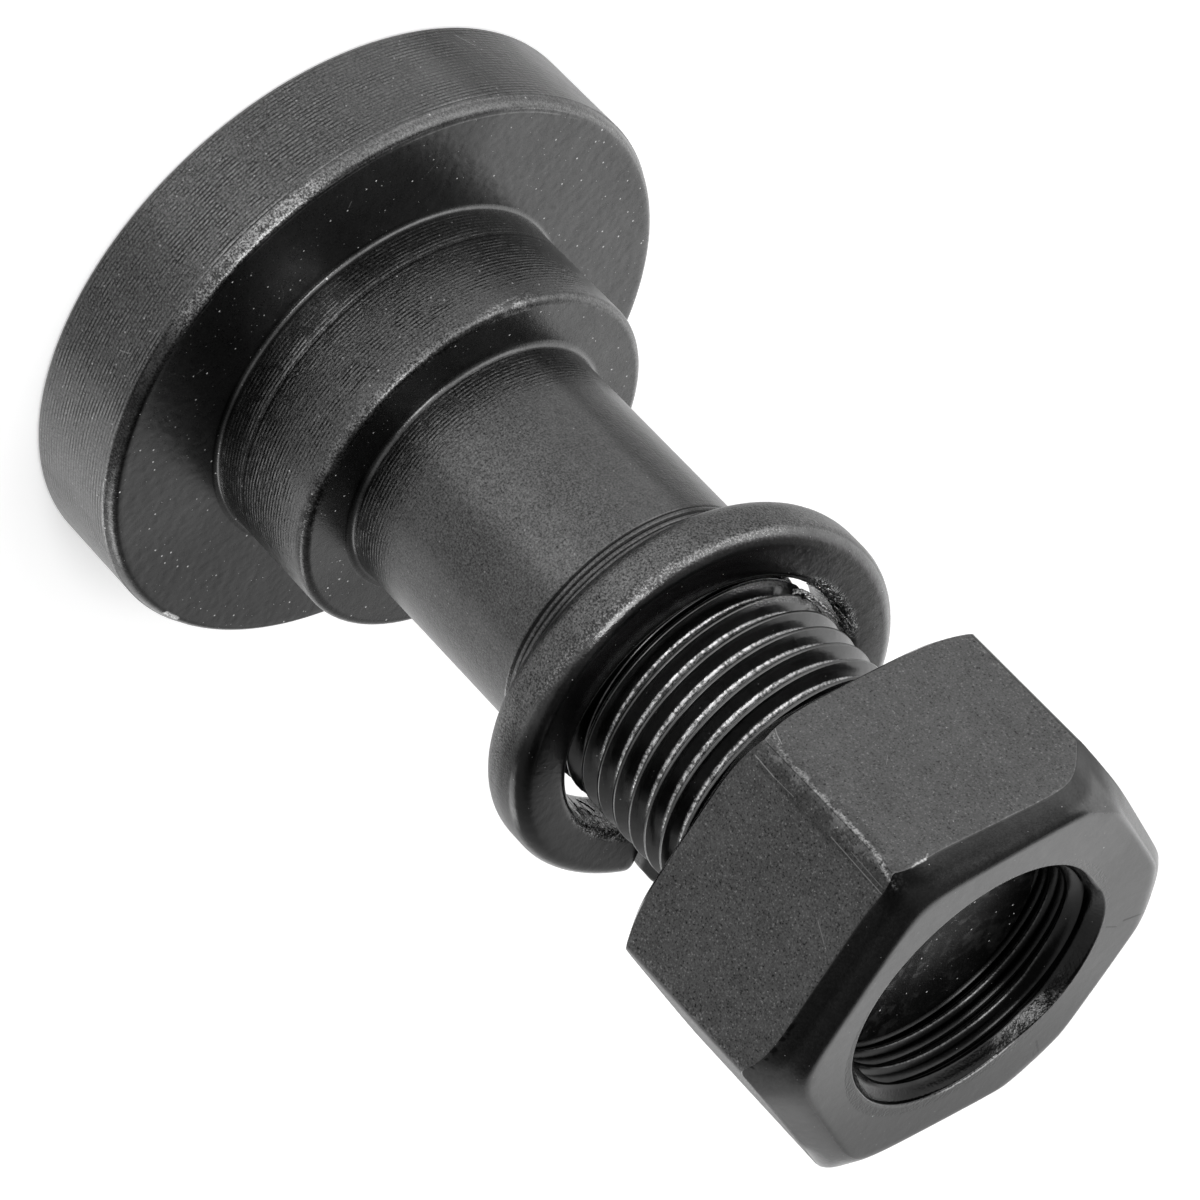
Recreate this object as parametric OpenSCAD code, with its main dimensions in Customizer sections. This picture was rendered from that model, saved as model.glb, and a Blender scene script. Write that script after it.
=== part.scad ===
// Blade bolt with split lock washer and hex nut, standing on its head.
// All sizes in millimetres. The bolt's axis is Z; Z = 0 is the back of the head.

/* [Head] */
// Diameter of the round head
head_d = 59.2; // [50:0.1:75]
// Thickness of the head
head_t = 11.3; // [8:0.1:16]
// Radius of the rim's edge on the blade side
head_front_r = 1.1; // [0.3:0.1:3]
// Radius of the rim's edge on the back
head_back_r = 0.7; // [0.2:0.1:3]

/* [Blade journal] */
// Diameter of the step that the blade swings on
journal_d = 36.7; // [28:0.1:45]
// Length of that step
journal_l = 12.7; // [8:0.1:25]
// Radius of its free edge
journal_edge_r = 0.8; // [0.2:0.1:2]
// Fillet between the head and the step
journal_root_r = 0.5; // [0.2:0.1:2]

/* [Shank] */
// Diameter of the plain shank
shank_d = 26.2; // [25.6:0.1:32]
// Height of the shoulder where the thread begins
shoulder_z = 50.1; // [40:0.1:60]
// Fillet between the step and the shank
shank_root_r = 0.6; // [0.2:0.1:2]
// Radius of the shoulder's edge
shoulder_r = 0.2; // [0.1:0.05:0.4]
// Height of the first of the run-out rings on the shank
ring_z = 46.1; // [45:0.1:48]
// Distance between the run-out rings
ring_step = 0.6; // [0.5:0.1:0.8]
// Depth of a run-out ring
ring_depth = 0.15; // [0.1:0.05:0.25]

/* [Thread] */
// Outside diameter of the thread, 1 inch
thread_d = 25.4; // [20:0.1:32]
// Rise of the thread in one turn, 12 turns to the inch
pitch = 2.1167; // [1:0.0001:4]
// Height of the bolt's end
end_z = 86.5; // [80:0.1:100]
// Length of the chamfer at the bolt's end
end_chamfer = 1.5; // [0.5:0.1:2.5]

/* [Lock washer] */
// Inside diameter of the washer
washer_id = 27.7; // [26.6:0.1:29]
// Outside diameter of the washer
washer_od = 38.1; // [34:0.1:44]
// Height of the washer's section
washer_t = 5.6; // [4:0.1:8]
// Height of the middle of the ring, which hangs loose on the thread
washer_z = 54.5; // [30:0.1:56]
// How far the loose ring hangs off the axis
washer_shift = 0.25; // [0:0.05:0.5]
// How much the coil falls in its one turn
washer_spring = 0.4; // [0:0.1:5]
// How much further the upper end is bent up
washer_end_rise = 2.0; // [0:0.1:3]
// How much the ring is warped, up and down from flat
washer_warp = 0.3; // [0:0.05:1]
// How far the ring leans from square, in degrees
washer_lean = 6; // [0:0.5:8]
// The side that it leans up to, in degrees from X
lean_to = 208; // [0:1:359]
// Width of the split, in degrees of the ring
split_deg = 3.7; // [3:0.5:12]
// Where the split is, in degrees from X
split_at = 135.2; // [0:1:359]
// Radius of the section's outer corners
washer_outer_r = 2.3; // [0.5:0.1:3]
// Radius of the section's inner corners
washer_inner_r = 1.1; // [0.2:0.1:2]

/* [Nut] */
// Width across the flats, 1 1/2 inch
nut_af = 38.1; // [30:0.1:46]
// Height of the nut
nut_h = 21.2; // [14:0.1:26]
// Height of the nut's lower face as stored
nut_z = 71.4; // [61:0.1:86]
// Radius at which the flat face turns into the chamfer
nut_face_r = 18.4; // [16:0.1:19]
// Angle of the chamfer
nut_chamfer_deg = 32; // [15:1:45]
// Radius between face and chamfer
nut_edge_r = 1.8; // [0.5:0.1:3]
// How far the sharp corners are blunted
corner_off = 0.1; // [0:0.05:0.6]
// Gap between the bore and the thread's outside, on the radius
bore_gap = 0.06; // [0.03:0.01:0.1]
// Radius of the countersink at each face
sink_r = 13.6; // [13:0.1:15]

/* [Hidden] */
$fn = 96;
steel = [0.07, 0.07, 0.075];

head_r = head_d / 2;
journal_r = journal_d / 2;
shank_r = shank_d / 2;
thread_r = thread_d / 2;
journal_z = head_t + journal_l;
bore_r = thread_r + bore_gap;
nut_corner_r = nut_af / 2 / cos(30);

// What a rounded outside corner takes away: the corner at [x, y] with the
// material towards -X, and towards -Y (up = 1) or +Y (up = -1).
module corner_cut(x, y, r, up) {
    translate([x - r, up > 0 ? y - r : y])
    difference() {
        square([r + 1, r]);
        translate([0, up > 0 ? 0 : r]) circle(r);
    }
}

// What a fillet adds in the inside corner at [x, y], open towards +X and +Y.
module root_fill(x, y, r) {
    difference() {
        translate([x - 0.2, y - 0.2]) square([r + 0.2, r + 0.2]);
        translate([x + r, y + r]) circle(r);
    }
}

// Half of the bolt's section.
module bolt_section() {
    difference() {
        union() {
            square([head_r, head_t]);
            square([journal_r, journal_z]);
            square([shank_r, shoulder_z]);
            square([thread_r, end_z]);
            root_fill(journal_r, head_t, journal_root_r);
            root_fill(shank_r, journal_z, shank_root_r);
        }
        corner_cut(head_r, head_t, head_front_r, 1);
        corner_cut(head_r, 0, head_back_r, -1);
        corner_cut(journal_r, journal_z, journal_edge_r, 1);
        corner_cut(shank_r, shoulder_z, shoulder_r, 1);
        // chamfer at the threaded end
        polygon([[thread_r - end_chamfer, end_z], [thread_r + 1, end_z + 1],
                 [thread_r + 1, end_z - end_chamfer - 1]]);
        // shallow rings where the thread runs out on the shank
        for (i = [0 : 3])
            translate([shank_r, ring_z + i * ring_step])
                polygon([[-ring_depth, 0], [0.3, -0.3 - ring_depth], [0.3, 0.3 + ring_depth]]);
    }
}

module blade_bolt() {
    color(steel) rotate_extrude() bolt_section();
}

// The washer is one coil that falls as it turns, with its upper end bent up
// further. It is loose on the bolt and leans.
washer_steps = 72;
// Points of the section, anticlockwise, as [radius, height from its middle].
function arc_pts(cx, cy, r, a0, n) =
    [for (i = [0 : n]) [cx + r * cos(a0 + 90 * i / n), cy + r * sin(a0 + 90 * i / n)]];
wi = washer_id / 2;
wo = washer_od / 2;
wh = washer_t / 2;
washer_section = concat(
    arc_pts(wi + washer_inner_r, -wh + washer_inner_r, washer_inner_r, 180, 2),
    arc_pts(wo - washer_outer_r, -wh + washer_outer_r, washer_outer_r, 270, 4),
    arc_pts(wo - washer_outer_r, wh - washer_outer_r, washer_outer_r, 0, 4),
    arc_pts(wi + washer_inner_r, wh - washer_inner_r, washer_inner_r, 90, 2));
washer_n = len(washer_section);
// Height of the coil's middle at a part t of its length, at the angle a and radius r.
function coil_lift(t, a, r) =
    washer_spring * (0.5 - t) + washer_end_rise * exp(-t / 0.09)
    - washer_warp * cos(2 * (a - split_at)) + tan(washer_lean) * r * cos(a - lean_to);
function coil_angle(t) = split_at + split_deg / 2 + (360 - split_deg) * t;
function washer_ring(k) =
    let (t = k / washer_steps, a = coil_angle(t))
    [for (p = washer_section) [p[0] * cos(a), p[0] * sin(a) + washer_shift, p[1] + washer_z + coil_lift(t, a, p[0])]];
washer_points = [for (k = [0 : washer_steps]) for (p = washer_ring(k)) p];
washer_sides = [for (k = [0 : washer_steps - 1]) for (i = [0 : washer_n - 1])
    let (a = k * washer_n + i, b = k * washer_n + (i + 1) % washer_n)
    each [[a, b, b + washer_n], [a, b + washer_n, a + washer_n]]];
washer_ends = [
    [for (i = [washer_n - 1 : -1 : 0]) i],
    [for (i = [0 : washer_n - 1]) washer_steps * washer_n + i]];

module lock_washer() {
    color(steel) polyhedron(points = washer_points, faces = concat(washer_sides, washer_ends), convexity = 6);
}

// Half of the round shape that the hexagon is cut to: flat faces, rounded into
// the chamfers, and blunted corners.
drop = nut_edge_r * (1 - cos(nut_chamfer_deg));
cone_r = nut_face_r + nut_edge_r * sin(nut_chamfer_deg);
corner_r = nut_corner_r - corner_off;
cone_drop = drop + (corner_r - cone_r) * tan(nut_chamfer_deg);
module nut_section() {
    difference() {
        union() {
            // between the chamfers
            polygon([[0, 0], [nut_face_r, 0], [cone_r, drop], [corner_r, cone_drop],
                     [corner_r, nut_h - cone_drop], [cone_r, nut_h - drop],
                     [nut_face_r, nut_h], [0, nut_h]]);
            // rounding from face to chamfer
            intersection() {
                translate([nut_face_r, nut_edge_r]) circle(nut_edge_r);
                translate([nut_face_r - 0.01, 0]) square([cone_r - nut_face_r + 0.01, nut_h / 2]);
            }
            intersection() {
                translate([nut_face_r, nut_h - nut_edge_r]) circle(nut_edge_r);
                translate([nut_face_r - 0.01, nut_h / 2]) square([cone_r - nut_face_r + 0.01, nut_h / 2]);
            }
        }
        // bore and its two countersinks
        square([bore_r, nut_h]);
        polygon([[0, -1], [sink_r + 1, -1], [sink_r, 0], [bore_r - 0.01, sink_r - bore_r + 0.01], [0, sink_r - bore_r + 0.01]]);
        polygon([[0, nut_h + 1], [sink_r + 1, nut_h + 1], [sink_r, nut_h],
                 [bore_r - 0.01, nut_h - (sink_r - bore_r) - 0.01], [0, nut_h - (sink_r - bore_r) - 0.01]]);
    }
}

module hex_nut() {
    color(steel) translate([0, 0, nut_z])
    intersection() {
        cylinder(h = nut_h, r = nut_corner_r, $fn = 6);
        rotate_extrude() nut_section();
    }
}

blade_bolt();
lock_washer();
hex_nut();
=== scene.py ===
import math

import bmesh
import bpy
import numpy as np
from mathutils import Matrix, Vector


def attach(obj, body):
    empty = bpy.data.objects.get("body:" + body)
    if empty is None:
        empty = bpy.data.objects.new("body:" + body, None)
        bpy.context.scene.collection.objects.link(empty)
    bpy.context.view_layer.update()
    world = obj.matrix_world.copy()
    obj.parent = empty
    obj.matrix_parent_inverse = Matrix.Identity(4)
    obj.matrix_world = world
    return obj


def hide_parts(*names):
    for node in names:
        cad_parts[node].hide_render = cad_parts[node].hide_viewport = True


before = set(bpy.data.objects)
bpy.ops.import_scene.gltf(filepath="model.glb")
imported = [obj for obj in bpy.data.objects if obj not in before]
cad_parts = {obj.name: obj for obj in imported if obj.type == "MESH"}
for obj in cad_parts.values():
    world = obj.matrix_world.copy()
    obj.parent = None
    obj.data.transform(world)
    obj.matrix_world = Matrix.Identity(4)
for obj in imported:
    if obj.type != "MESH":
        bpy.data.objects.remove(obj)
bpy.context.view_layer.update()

MM = 0.001
RAD = math.pi / 180

# ---------------------------------------------------------------- sizes, mm
HEAD_R, HEAD_T, HEAD_FRONT_R, HEAD_BACK_R = 29.6, 11.3, 1.1, 0.7
JOURNAL_R, JOURNAL_Z, JOURNAL_EDGE, JOURNAL_ROOT = 18.35, 24.0, 0.8, 0.42
SHANK_R, SHOULDER_Z, SHANK_ROOT, SHOULDER_EDGE = 13.1, 50.1, 0.6, 0.2
RINGS, RING_DEPTH = (46.15, 46.75, 47.3, 48.0), 0.16
THREAD_R, PITCH, END_Z, END_CHAMFER = 12.55, 2.1167, 86.5, 1.5
JOURNAL_LINE = 15.1                             # where the turned part of the journal begins
CREST_Z, CREST_AT = 61.97, 3.74 * RAD          # where a crest is, and at what angle
WASHER_RI, WASHER_RO, WASHER_T, WASHER_SPRING = 13.85, 19.05, 5.6, 0.4
WASHER_Z, WASHER_SHIFT, WASHER_RISE, WASHER_WARP, WASHER_LEAN, LEAN_TO = 54.5, 0.25, 2.0, 0.3, 6.0, 208.0
WASHER_BACK, WASHER_FRONT, WASHER_INNER = 2.4, 1.6, 1.0
SPLIT_AT, SPLIT = 135.2, 3.7
NUT_AF, NUT_H, NUT_Z, NUT_FACE_R, NUT_CHAMFER, NUT_EDGE = 38.1, 21.2, 71.4, 18.4, 32.0, 1.8
SINK_R = 13.6


# ---------------------------------------------------------------- mesh helpers
def arc(cx, cy, r, a0, a1, n):
    """Points of an arc from a0 to a1 degrees, both ends included."""
    return [(cx + r * math.cos(RAD * (a0 + (a1 - a0) * i / n)), cy + r * math.sin(RAD * (a0 + (a1 - a0) * i / n))) for i in range(n + 1)]


def smooth(a, b, x):
    t = np.clip((np.asarray(x, float) - a) / (b - a), 0, 1)
    return t * t * (3 - 2 * t)


def piece(name, points, faces, torn=0, sharp=None):
    """A mesh object from points in mm. Doubles are merged and slivers dropped, and its normals point outwards.
    The last points, torn of them, are of torn metal."""
    me = bpy.data.meshes.new(name)
    me.from_pydata([tuple(p) for p in points * MM], [], faces)
    if torn:
        me.attributes.new("torn", "FLOAT", "POINT").data.foreach_set("value", (np.arange(len(points)) >= len(points) - torn).astype(np.float32))
    bm = bmesh.new()
    bm.from_mesh(me)
    bmesh.ops.remove_doubles(bm, verts=bm.verts, dist=2e-7)
    bmesh.ops.dissolve_degenerate(bm, edges=bm.edges, dist=2e-7)
    bmesh.ops.recalc_face_normals(bm, faces=bm.faces)
    for f in bm.faces:
        f.smooth = True
    bm.to_mesh(me)
    bm.free()
    if sharp:
        me.set_sharp_from_angle(angle=sharp * RAD)
    ob = bpy.data.objects.new(name, me)
    bpy.context.scene.collection.objects.link(ob)
    return ob


class Shell:
    """Rows of points round the axis, joined row to row. A row is an array (columns, 3)."""

    def __init__(self, angles):
        self.a = np.asarray(angles, float)
        self.n = len(self.a)
        self.pts, self.faces, self.count = [], [], 0

    def add(self, pts):
        start = self.count
        self.pts.append(pts)
        self.count += len(pts)
        return start

    def ring(self, r, z):
        r = np.broadcast_to(np.asarray(r, float), (self.n,))
        z = np.broadcast_to(np.asarray(z, float), (self.n,))
        return self.add(np.stack([r * np.cos(self.a), r * np.sin(self.a), z], -1))

    def join(self, s, t, shift=0):
        for i in range(self.n):
            j = (i + 1) % self.n
            self.faces.append((s + i, s + j, t + j, t + i))

    def profile(self, rz):
        rows = [self.ring(r, z) for r, z in rz]
        for s, t in zip(rows, rows[1:]):
            self.join(s, t)
        return rows

    def helix(self, radius, offsets, z0, z1, crest):
        """Rows that follow the thread, cut off flat at z0 and z1. radius(angle, z) gives the surface; offsets are the rows
        of one turn as distances from the crest. Returns first and last row of points."""
        n = len(offsets)
        lead = PITCH * self.a / (2 * math.pi)
        k0 = math.floor((z0 - crest) / PITCH) - 2
        k1 = math.ceil((z1 - crest) / PITCH) + 2
        rows = []
        for k in range(k0, k1):
            for o in offsets:
                z = np.clip(crest + k * PITCH + o + lead, z0, z1)
                rows.append(self.ring(radius(self.a, z), z))
        for s, t in zip(rows, rows[1:]):
            for i in range(self.n - 1):
                self.faces.append((s + i, s + i + 1, t + i + 1, t + i))
        # over the seam a row meets the one a turn further on
        for q in range(len(rows) - 1 - n):
            s, t = rows[q], rows[q + 1]
            s2, t2 = rows[q + n], rows[q + n + 1]
            # last column at angle 2 pi - step joins column 0 of the row one turn up
            self.faces.append((s + self.n - 1, s2, t2, t + self.n - 1))
        return rows


def thread_depth(u, crest, root_r):
    """Depth below the crest at u, the distance along the axis from the crest's middle. 60 degree flanks, rounded root."""
    t30 = math.tan(30 * RAD)
    u = np.abs(u)
    apex = (PITCH / 2 - crest) / t30 + 0.03
    tip = apex - 2 * root_r
    flank = 0.03 + (u - crest) / t30
    w = np.clip((PITCH / 2 - u) / root_r, -1, 1)
    root = tip + root_r * np.sqrt(np.maximum(1 - w * w, 0))
    d = np.where(PITCH / 2 - u < root_r * math.cos(30 * RAD), root, flank)
    return np.where(u <= crest, np.clip((u - crest + 0.03) / 0.03, 0, 1) * 0.03, d)


def from_crest(a, z, crest):
    """Signed distance along the axis to the nearest crest."""
    u = (z - crest - PITCH * a / (2 * math.pi)) / PITCH
    return (u - np.round(u)) * PITCH


# ---------------------------------------------------------------- bolt
COLS = 224
angles = np.arange(COLS) * 2 * math.pi / COLS
BOLT_CREST = CREST_Z - PITCH * CREST_AT / (2 * math.pi)
CREST_HALF, ROOT_R = 0.15, 0.33


def bolt_radius(a, z):
    d = thread_depth(from_crest(a, z, BOLT_CREST), CREST_HALF, ROOT_R)
    d = d * smooth(SHOULDER_Z, SHOULDER_Z + 2.2, z)
    # the first crests are torn on the two sides where the washer has rubbed
    deg = np.degrees(a)
    where = np.exp(-((deg - 268) / 26) ** 2) + np.exp(-((deg - 106) / 13) ** 2)
    rough = np.sin(deg * 1.9 + z * 7.1) * np.sin(deg * 0.83 - z * 3.3 + 1) + 0.6 * np.sin(deg * 3.7 - z * 11.3)
    d = d + where * smooth(58.6, 56.6, z) * smooth(SHOULDER_Z + 1, SHOULDER_Z + 2.5, z) * np.clip(rough * 0.16 + 0.04, 0, 0.3)
    chamfer = THREAD_R - END_CHAMFER + (END_Z - z)
    return np.minimum(THREAD_R - d, chamfer)


def bolt_mesh():
    s = Shell(angles)
    rim, face, jr = HEAD_R, HEAD_T, JOURNAL_R
    p = [(r, 0.0) for r in (0.02, 4, 9, 14, 19, 24, 28)] + [(rim - HEAD_BACK_R - 0.08, 0)]
    p += arc(rim - HEAD_BACK_R, HEAD_BACK_R, HEAD_BACK_R, -90, 0, 5)
    p += [(rim, z) for z in (HEAD_BACK_R + 0.08, 2.5, 4, 5.5, 7, 8.5, 9.6, face - HEAD_FRONT_R - 0.06)]
    # a steep band, then a tight edge to the face
    band = [(0.0, -1.0), (-0.05, -0.97), (-0.1, -0.85), (-0.17, -0.65), (-0.27, -0.43), (-0.39, -0.25), (-0.52, -0.12), (-0.66, -0.03), (-0.78, 0.0)]
    p += [(rim + u * HEAD_FRONT_R, face + v * HEAD_FRONT_R) for u, v in band]
    p += [(r, face) for r in (28.2, 27, 25.5, 24, 22.5, 21, 20, jr + JOURNAL_ROOT + 0.08)]
    p += arc(jr + JOURNAL_ROOT - 0.01, face + JOURNAL_ROOT, JOURNAL_ROOT, -90, -180, 7)
    p += [(jr - 0.01, z) for z in (face + JOURNAL_ROOT + 0.08, 13.6, JOURNAL_LINE - 0.14)]
    p += [(jr - 0.035, JOURNAL_LINE - 0.04), (jr - 0.035, JOURNAL_LINE + 0.02), (jr, JOURNAL_LINE + 0.1)]
    p += [(jr, z) for z in (JOURNAL_LINE + 0.16, 17, 18.5, 20, 21.5, JOURNAL_Z - JOURNAL_EDGE - 0.08)]
    p += arc(jr - JOURNAL_EDGE, JOURNAL_Z - JOURNAL_EDGE, JOURNAL_EDGE, 0, 90, 7)
    p += [(r, JOURNAL_Z) for r in (jr - JOURNAL_EDGE - 0.08, 16.4, 15.2, SHANK_R + SHANK_ROOT + 0.08)]
    p += arc(SHANK_R + SHANK_ROOT, JOURNAL_Z + SHANK_ROOT, SHANK_ROOT, -90, -180, 6)
    p += [(SHANK_R, z) for z in (JOURNAL_Z + SHANK_ROOT + 0.08, 27, 30, 33, 36, 39, 42, 45, RINGS[0] - 0.3)]
    # the thread runs out in rings, the first deeper on the left and the second on the right
    turn = np.sin(angles)
    for z, g in zip(RINGS, (0.95 + 0.5 * turn, 0.9 - 0.5 * turn, 0.6 + 0 * turn, 0.8 - 0.2 * turn)):
        half = 0.11 + 0.13 * g
        p += [(SHANK_R, z - half), (SHANK_R - 0.02 * g, z - 0.7 * half), (SHANK_R - RING_DEPTH * g, z - 0.22 * half)]
        p += [(SHANK_R - RING_DEPTH * g, z + 0.22 * half), (SHANK_R - 0.02 * g, z + 0.7 * half), (SHANK_R, z + half)]
    p += [(SHANK_R, SHOULDER_Z - SHOULDER_EDGE - 0.05)]
    p += arc(SHANK_R - SHOULDER_EDGE, SHOULDER_Z - SHOULDER_EDGE, SHOULDER_EDGE, 0, 90, 3)
    p += [(THREAD_R + 0.2, SHOULDER_Z), (THREAD_R + 0.04, SHOULDER_Z), (THREAD_R, SHOULDER_Z)]
    rows = s.profile(p)
    centre = s.add(np.array([[0, 0, 0.0]]))
    for i in range(s.n):
        s.faces.append((centre, rows[0] + (i + 1) % s.n, rows[0] + i))
    t30 = math.tan(30 * RAD)
    c = CREST_HALF
    tan_u = PITCH / 2 - ROOT_R * math.cos(30 * RAD)
    offs = [-c, -c + 0.03, 0.0, c - 0.03, c, (c + tan_u) / 2]
    offs += [PITCH / 2 + ROOT_R * math.sin(RAD * t) for t in (-60, -40, -20, 0, 20, 40, 60)]
    offs += [PITCH - (c + tan_u) / 2]
    s.helix(bolt_radius, offs, SHOULDER_Z, END_Z, BOLT_CREST)
    end_r = THREAD_R - END_CHAMFER
    s.profile([(end_r, END_Z), (end_r - 0.06, END_Z), (9.5, END_Z), (7, END_Z), (4.5, END_Z), (2, END_Z), (0.02, END_Z)])
    last = s.count - s.n
    tip = s.add(np.array([[0, 0, END_Z]]))
    for i in range(s.n):
        s.faces.append((tip, last + i, last + (i + 1) % s.n))
    return s


def flake(s, a, b, width, thick, curl, seed):
    """A torn curl of metal, closed, from a to b, each (angle, radius, height). It tapers to both ends with an uneven edge."""
    rng = np.random.default_rng(seed)
    n = 9
    t = np.linspace(0, 1, n)
    ph, r, z = (a[i] + (b[i] - a[i]) * t for i in range(3))
    r = r + curl * np.sin(math.pi * t)
    mid = np.stack([r * np.cos(ph * RAD), r * np.sin(ph * RAD), z], -1)
    out = np.stack([np.cos(ph * RAD), np.sin(ph * RAD), 0 * t], -1)
    along = np.gradient(mid, axis=0)
    along /= np.linalg.norm(along, axis=1)[:, None]
    side = np.cross(along, out)
    half = width / 2 * np.sin(math.pi * (0.12 + 0.76 * t)) * rng.uniform(0.65, 1.2, n)
    mid = mid + side * (rng.uniform(-0.12, 0.12, n) * width)[:, None]
    up = thick / 2 * rng.uniform(0.7, 1.3, n)
    rows = []
    for k in range(n):
        ring = [mid[k] + side[k] * half[k] * c + out[k] * up[k] * q for c, q in ((1, 0), (0.45, 1), (-0.4, 0.8), (-1, 0.1), (-0.4, -1), (0.5, -0.8))]
        rows.append(s.add(np.array(ring)))
    for p, q in zip(rows, rows[1:]):
        for i in range(6):
            j = (i + 1) % 6
            s.faces.append((p + i, p + j, q + j, q + i))
    s.faces.append(tuple(rows[0] + i for i in range(6)))
    s.faces.append(tuple(rows[-1] + i for i in range(6))[::-1])


s = bolt_mesh()
plain = s.count
# plates torn up on the first threads, where the loose washer has rubbed
for k, todo in enumerate([
        ((-67, 12.6, 56.7), (-75, 12.95, 57.5), 0.75, 0.3, 0.2), ((-71, 12.75, 57.4), (-78, 12.95, 58.2), 0.6, 0.26, 0.15),
        ((-75, 12.6, 57.9), (-82, 12.9, 58.5), 0.5, 0.22, 0.15), ((-80, 12.6, 57.0), (-84, 12.9, 57.5), 0.4, 0.2, 0.1),
        ((-64, 12.6, 57.2), (-68, 12.8, 57.3), 0.35, 0.2, 0.1), ((-84, 12.6, 58.2), (-88, 12.85, 58.7), 0.4, 0.2, 0.1),
        ((106, 12.6, 55.3), (110, 12.9, 56.0), 0.35, 0.16, 0.1), ((110, 12.6, 56.0), (113, 12.8, 56.9), 0.3, 0.16, 0.1)]):
    flake(s, *todo, seed=k + 3)
bolt = piece("blade_bolt_turned", np.concatenate(s.pts), s.faces, torn=s.count - plain)


# ---------------------------------------------------------------- washer
def coil_lift(t, a, r):
    """Height of the coil's middle at part t of its length, at angle a (radians) and radius r."""
    return WASHER_SPRING * (0.5 - t) + WASHER_RISE * math.exp(-t / 0.09) - WASHER_WARP * math.cos(2 * (a - RAD * SPLIT_AT)) + math.tan(RAD * WASHER_LEAN) * r * math.cos(a - RAD * LEAN_TO)


def washer_mesh():
    ri, ro, h = WASHER_RI, WASHER_RO, WASHER_T / 2
    back, front, irr = WASHER_BACK, WASHER_FRONT, WASHER_INNER
    sec = arc(ri + irr, -h + irr, irr, 180, 270, 6) + arc(ro - back, -h + back, back, -90, 0, 9)
    sec += arc(ro - front, h - front, front, 0, 90, 9) + arc(ri + irr, h - irr, irr, 90, 180, 6)
    sec = np.array(sec)
    n = len(sec)
    cen = np.array([(ri + ro) / 2, 0])
    er = 0.7                                             # rounding of the two cut ends
    length = (360 - SPLIT) * RAD * 16.4
    near = [(er * (1 - math.cos(b)) / length, er * (1 - math.sin(b))) for b in np.linspace(0, math.pi / 2, 7)]
    ts = near + [(t, 0.0) for t in np.linspace(0.013, 0.987, 196)] + [(1 - t, d) for t, d in near[::-1]]
    pts, faces = [], []
    for t, d in ts:
        a = RAD * (SPLIT_AT + SPLIT / 2 + (360 - SPLIT) * t)
        q = cen + (sec - cen) * (1 - d / np.hypot(*(sec - cen).T)[:, None])
        lift = np.array([coil_lift(t, a, r) for r in q[:, 0]])
        deg = math.degrees(a) % 360
        where = math.exp(-((deg - 270) / 16) ** 2) + math.exp(-((deg - 104) / 12) ** 2)
        if where > 0.02:                                 # rubbed rough round the bore's upper edge
            bumps = np.sin(deg * 2.7 + q[:, 1] * 9) * np.sin(deg * 1.3 - q[:, 1] * 5 + 2) + 0.5 * np.sin(deg * 4.9 + q[:, 1] * 15)
            q = q + np.stack([0.13 * where * bumps * smooth(15.6, 14.4, q[:, 0]) * smooth(-1.5, 0.5, q[:, 1]), np.zeros(n)], -1)
        pts.append(np.stack([q[:, 0] * math.cos(a), q[:, 0] * math.sin(a) + WASHER_SHIFT, q[:, 1] + WASHER_Z + lift], -1))
    for k in range(len(ts) - 1):
        for i in range(n):
            j = (i + 1) % n
            faces.append((k * n + i, k * n + j, (k + 1) * n + j, (k + 1) * n + i))
    faces.append(tuple(range(n))[::-1])
    faces.append(tuple((len(ts) - 1) * n + i for i in range(n)))
    return np.concatenate(pts), faces


pts, faces = washer_mesh()
# chips along the bore's upper edge, and two curls on the other side
s = Shell([0.0])
rng = np.random.default_rng(23)
for k in range(38):
    ph = -70 - 34 * rng.random() ** 0.75
    r = 13.62 + 0.9 * rng.random() ** 1.6
    z = 57.28 - 0.036 * (ph + 90) + math.sqrt(max(1 - (14.6 - r) ** 2, 0)) * 0.95
    turn, size = rng.uniform(0, 2 * math.pi), rng.uniform(0.16, 0.34)
    d = (math.cos(turn) * size * 4, math.sin(turn) * size * 0.5, math.sin(turn) * size * 0.7 + 0.1)
    flake(s, (ph - d[0], max(r - d[1], 13.5), z - d[2]), (ph + d[0], r + d[1], z + d[2]), rng.uniform(0.1, 0.2), rng.uniform(0.08, 0.13), 0.03, seed=k + 40)
for k, todo in enumerate([
        ((-95, 13.62, 57.9), (-104.5, 13.9, 58.75), 0.55, 0.14, 0.05), ((-99, 13.9, 58.5), (-105.5, 14.05, 58.95), 0.34, 0.13, 0.06),
        ((-91, 13.6, 57.7), (-96, 13.75, 58.2), 0.4, 0.14, 0.05), ((-97, 13.55, 57.6), (-101, 13.6, 58.1), 0.26, 0.12, 0.0),
        ((108, 13.9, 52.8), (112.5, 13.75, 54.3), 0.55, 0.16, -0.1), ((103, 13.9, 54.1), (107.5, 13.75, 54.9), 0.3, 0.16, -0.08),
        ((109.5, 13.8, 54.9), (113, 13.75, 55.3), 0.2, 0.12, -0.05)]):
    flake(s, *todo, seed=k + 90)
faces += [tuple(v + len(pts) for v in f) for f in s.faces]
washer = piece("lock_washer_sprung", np.concatenate([pts] + s.pts), faces, torn=s.count, sharp=50)


# ---------------------------------------------------------------- nut
def nut_columns():
    """Angles of the columns, closer together at the six corners."""
    near = [0.0, 0.15, 0.3, 0.45, 0.6, 0.8, 1.4, 2.4, 3.6]
    half = near + list(np.linspace(5, 28.5, 14)) + [30.0]
    one = [-a for a in half[::-1]][1:-1] + half       # from just after the last flat's middle to this one's
    out = []
    for k in range(6):
        out += [60 * k + a for a in one]
    return np.unique(np.round(np.mod(np.array(out), 360), 6)) * RAD


NUT_A = nut_columns()
NUT_RI, NUT_RO = 11.5, 12.66


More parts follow.
